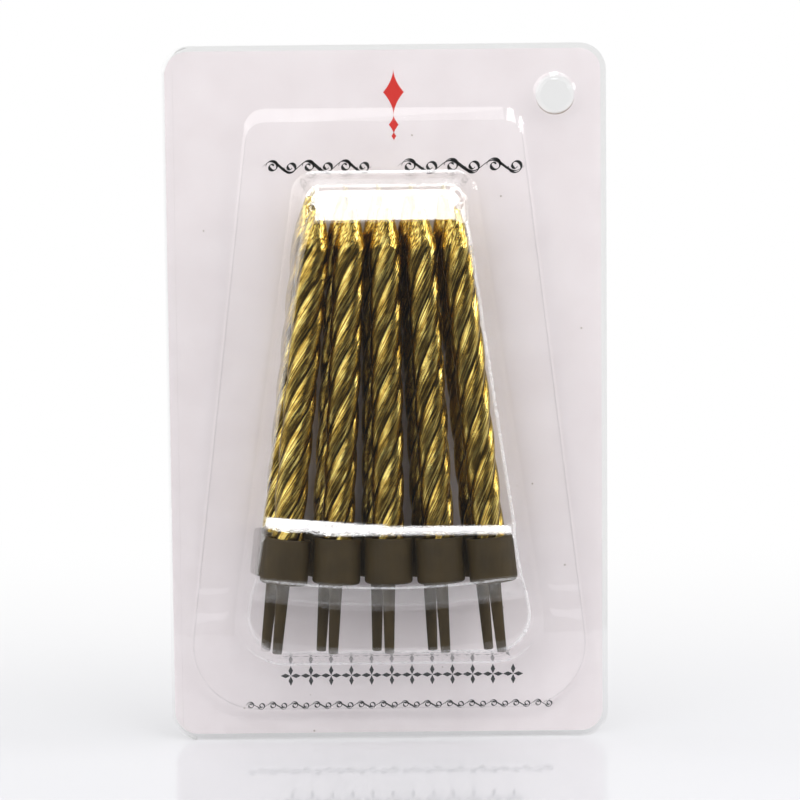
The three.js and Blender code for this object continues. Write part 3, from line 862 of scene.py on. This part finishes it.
# %% Where the candles lie
rim_up, rim_pitch, shoulder_pitch = 41.149, 9.2, 6.45
candle_rows = {"front": ((0, 13.5775), (0, 9.8)), "back": ((-2, 4.7), (-1.28, 3.4))}
places = {}
for k, i in enumerate(range(-2, 3), start=1):
    for row, ((rim_shift, rim_out), (shoulder_shift, shoulder_out)) in candle_rows.items():
        rim = (rim_pitch * i + rim_shift, rim_up, rim_out)
        places[f"{row}_{k}"] = rim, (shoulder_pitch * i + shoulder_shift, shoulder_up, shoulder_out)
cup_height, candle_seat, cone_length = 8.4, 1.45, 7.2
candle_lengths = {"front": 66.45, "back": 68.45}


def lay(points, rim, shoulder, along):
    """Turns local points (two across, one along) to the candle's line; along moves them up it from the cup's foot."""
    rim, shoulder = stand(rim), stand(shoulder)
    axis = (shoulder - rim) / np.linalg.norm(shoulder - rim)
    side = np.cross((0, 1, 0), axis)
    side /= np.linalg.norm(side)
    basis = np.stack([side, np.cross(axis, side), axis])
    start = rim + axis * (along - cup_height) * MM
    return points * MM @ basis + start


def spin(radii, levels, turns, shape=None):
    """Rings of a turned shape. The first and the last ring may have no radius: they are the poles."""
    angle = full_turn(turns)
    radius = radii[:, None] * (1 if shape is None else shape)
    level = levels[:, None] + 0 * angle
    return combine(radius * np.cos(angle), radius * np.sin(angle), level)


# %% [markdown]
# A candle is a stack of rings, each turned a little against the one below. Two attributes go with it: its
# coordinates with the twist taken out, and how near a point is to a groove. The lacquer reads both, and darkens
# the grooves with painted shade.

# %% Twisted candles
lobe_offset, lobe_arc = 1.05, 1.95
twist_lead = 33.0
candle_radius, tip_radius = lobe_offset + lobe_arc, 1.25
candle_turns, rounded_length, rounded_depth = 96, 0.5, 0.35


def candle_rings(candle_length):
    """Distance from the axis: each lobe an arc about a centre off the axis. The lobes fade into the pointed end.
    Returns the rings, the rings with the twist taken out, and the nearness to a groove."""
    body = np.concatenate([[0, 0.05, 0.2, 0.5], np.linspace(1.0, candle_length - cone_length, 170)])
    cone = np.linspace(candle_length - cone_length, candle_length, 22)[1:]
    level = np.concatenate([body, cone])
    base_round = np.sqrt(np.clip(1 - (1 - np.clip(level / rounded_length, 0, 1)) ** 2, 0, 1))
    point = np.clip((level - (candle_length - cone_length)) / cone_length, 0, 1)
    radius = (candle_radius - rounded_depth * (1 - base_round)) + (tip_radius - candle_radius) * point
    lobes = np.clip(1 - point * 3.6, 0, 1) ** 1.5
    angle = full_turn(candle_turns)
    twist = 2 * np.pi * level / twist_lead
    from_lobe = (angle[None, :] - twist[:, None] + np.pi / 4) % (np.pi / 2) - np.pi / 4
    arc = lobe_offset * np.cos(from_lobe) + np.sqrt(lobe_arc ** 2 - (lobe_offset * np.sin(from_lobe)) ** 2)
    shape = 1 - lobes[:, None] * (1 - arc / candle_radius)
    rings = spin(radius, level, candle_turns, shape)
    bore_radius = np.array([1.1, 0.75, 0.62, 0.6, 0.6])
    bore_level = candle_length + np.array([0.06, 0.04, -0.1, -0.6, -1.9])
    rings = np.concatenate([rings, spin(bore_radius, bore_level, candle_turns)])
    all_levels = np.concatenate([level, bore_level])
    untwist = 2 * np.pi * all_levels / twist_lead
    sine, cosine = np.sin(untwist)[:, None], np.cos(untwist)[:, None]
    x, y, z = np.moveaxis(rings, -1, 0)
    straight = combine(x * cosine + y * sine, y * cosine - x * sine, z)
    # Nearness to a groove, which the lacquer uses for painted shade.
    crease = np.zeros(rings.shape[:2])
    crease[:len(level)] = np.abs(from_lobe) / (np.pi / 4) * lobes[:, None]
    return rings, straight, crease


def with_poles(rings):
    """Points and faces of a spun shape, with one point in the middle of each end."""
    rows, turns = rings.shape[:2]
    points = np.vstack([rings.reshape(-1, 3), rings[0].mean(axis=0), rings[-1].mean(axis=0)])
    ends = pole(rows, turns, first=True), pole(rows, turns)
    return join_parts([(points, grid_faces(rows, turns, around=True), *ends)])


turn_between, pattern_shift = 0.7, np.array([0.011, 0.007, 0])
for k, (name, (rim, shoulder)) in enumerate(sorted(places.items())):
    candle_shape, candle_straight, candle_crease = candle_rings(candle_lengths[name.split("_")[0]])
    candle_points, candle_faces = with_poles(candle_shape)
    straight_points = with_poles(candle_straight)[0]
    sine, cosine = math.sin(turn_between * k), math.cos(turn_between * k)
    spun = candle_points @ np.array([[cosine, sine, 0], [-sine, cosine, 0], [0, 0, 1]])
    candle = make_piece(
        f"spiral_candle_{name}", lay(spun, rim, shoulder, candle_seat), candle_faces, name.replace("_", "_candle_"),
        gold, [f"candle_{name}"], 60,
    )
    untwisted = candle.data.attributes.new("untwisted", "FLOAT_VECTOR", "POINT")
    untwisted.data.foreach_set("vector", (straight_points * MM + pattern_shift * k).ravel())
    crease = candle.data.attributes.new("crease", "FLOAT", "POINT")
    crease.data.foreach_set("value", np.append(candle_crease.ravel(), (0, 0)))

# %% [markdown]
# A holder is one moulding: a cup with a solid spike. All its edges are rounded, because sharp ones don't fill.

# %% Holders
holder_sink, holder_turns = 0.85, 96
spike_lengths = {"front": 13, "back": 14.3}
cup_radius, bore_radius, bore_foot = 4.4, 3.25, 2
for name, (rim, shoulder) in places.items():
    spike = spike_lengths[name.split("_")[0]]
    corners = np.array([
        (0.02, -spike), (0.88, -spike), (1.2, 0), (cup_radius, 0), (cup_radius, cup_height), (bore_radius, cup_height),
        (bore_radius, bore_foot), (0.02, bore_foot),
    ])
    section = rounded_profile(corners, [0, 0.25, 0.5, 0.75, 0.3, 0.3, 0.4, 0], 6)
    holder_points, holder_faces = with_poles(spin(section[:, 0], section[:, 1], holder_turns))
    make_piece(
        f"cake_spike_holder_{name}", lay(holder_points, rim, shoulder, -holder_sink), holder_faces, "base",
        brown, [f"holder_{name}"], 50,
    )

# %% [markdown]
# The wick is three cotton strands twisted together. Waxed cotton keeps the ridges of the strands.

# %% Wicks
wick_length, wick_radius, wick_turns, strands, strand_lead = 3.7, 0.4, 36, 3, 2.2
wick_level = np.linspace(0, wick_length, 60)
wick_angle = full_turn(wick_turns)
strand = np.abs(np.cos(strands / 2 * (wick_angle[None, :] - 2 * np.pi * wick_level[:, None] / strand_lead)))
wick_end = np.sqrt(np.clip(1 - np.clip((wick_level - 3.5) / 0.22, 0, 1) ** 2, 0.04, 1))
wick_points, wick_faces = with_poles(spin(wick_radius * wick_end, wick_level, wick_turns, 0.78 + 0.22 * strand))
for name, (rim, shoulder) in places.items():
    wick_foot = candle_seat + candle_lengths[name.split("_")[0]] - 1.8
    make_piece(
        f"braided_wick_{name}", lay(wick_points, rim, shoulder, wick_foot), wick_faces,
        name.replace("_", "_candle_"), cotton, [f"wick_{name}"], 60,
    )

# %% [markdown]
# The pack stands on a sheet of glossy white acrylic. Near the pack it is the grey white of a surface that is lit
# from above. Further back it turns to the plain white of the background, with no line between them.

# %% The floor
def white_acrylic():
    """Glossy white, blended to a flat white behind the pack by the distance from it."""
    material, tree, place = new_material("acrylic_white_gloss")
    away = add(tree, "SeparateXYZ", Vector=place).outputs["Y"]
    acrylic = add(tree, "BsdfPrincipled", Base_Color=linear("#D0D0D4"), Roughness=0.05)
    white = add(tree, "Emission", Color=WHITE, Strength=1.0)
    return surface(material, mix(tree, between(tree, away, -0.05, 0.24, 0.0, 1.0, "SMOOTHSTEP"), acrylic, white))


floor_mesh = bpy.data.meshes.new("studio_floor")
floor_mesh.from_pydata([(-1.5, -0.1, 0), (1.5, -0.1, 0), (1.5, 2.0, 0), (-1.5, 2.0, 0)], [], [(0, 1, 2, 3)])
floor = new_object("studio_floor", floor_mesh)
floor_mesh.materials.append(white_acrylic())

# %% [markdown]
# The background is white where the camera or a reflection looks past the pack, and dim in front of it, because
# a studio is dark behind the camera. That contrast is what makes gold look like metal. The light comes from
# a large softbox on the left and two smaller ones on the right. Two white cards above the pack are only seen in
# mirrors: they make the white reflections in the slanting facet and in the ledge over the cups.

# %% Background and light
def studio_world():
    """White behind the pack for camera, glossy and transmission rays, dim in front; diffuse rays get a low fill."""
    world = bpy.data.worlds.new("studio")
    bpy.context.scene.world = world
    world.use_nodes = True
    tree = world.node_tree
    tree.nodes.clear()
    facing = add(tree, "TexCoord").outputs["Generated"]
    direction = add(tree, "SeparateXYZ", Vector=facing).outputs
    behind = between(tree, direction["Y"], -0.8, 0.2, 0.1, 1.0, "SMOOTHSTEP")
    low = between(tree, direction["Z"], 0.66, 0.8, 1.0, 0.15, "SMOOTHSTEP")
    rays = add(tree, "LightPath").outputs
    seen = calculate(tree, "MAXIMUM", rays["Is Camera Ray"], rays["Is Glossy Ray"])
    seen = calculate(tree, "MAXIMUM", seen, rays["Is Transmission Ray"])
    shown = add(tree, "Background", Color=WHITE, Strength=calculate(tree, "MULTIPLY", behind, low))
    fill = add(tree, "Background", Color=WHITE, Strength=0.65)
    add(tree, "OutputWorld", Surface=mix(tree, seen, fill, shown).outputs[0])


studio_world()
pack_middle = Vector((0, card_front, pack_top / 2 * MM))


def softbox(name, azimuth, elevation, distance, wide, tall, brightness, mirrored_only=False):
    """An area lamp that faces the pack's middle. Azimuth 0 is in front, 90 is to the right; wide and tall are the
    angles it fills as seen from there. A lamp's power in watts is four times its area times its brightness.
    A lamp that is mirrored only shows in glossy surfaces, as a white card does that stands out of the light."""
    azimuth, elevation = math.radians(azimuth), math.radians(elevation)
    width, height = (2 * distance * math.tan(math.radians(angle / 2)) for angle in (wide, tall))
    level = math.cos(elevation)
    away = Vector((math.sin(azimuth) * level, -math.cos(azimuth) * level, math.sin(elevation)))
    data = bpy.data.lights.new(name, "AREA")
    data.shape = "RECTANGLE"
    data.size, data.size_y = width, height
    data.energy = 4 * width * height * brightness
    lamp = new_object(name, data)
    lamp.location = pack_middle + away * distance
    lamp.rotation_euler = away.to_track_quat("Z", "Y").to_euler()
    lamp.visible_camera = False
    lamp.visible_diffuse = not mirrored_only


softbox("softbox_front_top", 0, 55, 1.1, 16, 12, 9.0, mirrored_only=True)
softbox("softbox_overhead", 0, 79, 1.1, 22, 20, 11.0, mirrored_only=True)
softbox("softbox_left", -54, 32, 1.1, 88, 56, 1.25)
softbox("softbox_upper_right", 35, 50, 1.1, 30, 20, 4.1)
softbox("softbox_right", 74, 22, 0.9, 26, 20, 7.0)
print("lamps:", [lamp.name for lamp in bpy.data.lights])

# %% [markdown]
# The photograph looks down by 7 degrees from about 0.7 m, with a long lens. The pack is a little turned in the
# picture, and stands left of its middle, so the camera is rolled by 0.6 degrees and aimed a little to the right.

# %% Camera
view_tilt, view_distance, roll = math.radians(7), 0.7, math.radians(0.6)
sensor, focal_pixels, picture = 36.0, 3758.7, 800
aside, above = -13.2, 5.3
looking = Vector((0, math.cos(view_tilt), -math.sin(view_tilt)))
level_up = Vector((0, math.sin(view_tilt), math.cos(view_tilt)))
rolled_right = Vector((1, 0, 0)) * math.cos(roll) - level_up * math.sin(roll)
rolled_up = level_up * math.cos(roll) + Vector((1, 0, 0)) * math.sin(roll)
target = Vector((0, card_front, 0.065))
forward = (looking - rolled_right * (aside / focal_pixels) - rolled_up * (above / focal_pixels)).normalized()
right = (rolled_right - forward * rolled_right.dot(forward)).normalized()
up = right.cross(forward)
camera_data = bpy.data.cameras.new("camera")
camera_data.sensor_width = sensor
camera_data.lens = focal_pixels * sensor / picture
camera = new_object("camera", camera_data)
axes = Matrix((right, up, -forward)).transposed().to_4x4()
camera.matrix_world = Matrix.Translation(target - looking * view_distance) @ axes
bpy.context.scene.camera = camera
bpy.context.scene.view_settings.view_transform = "Standard"
print("lens:", round(camera_data.lens, 1), "mm")
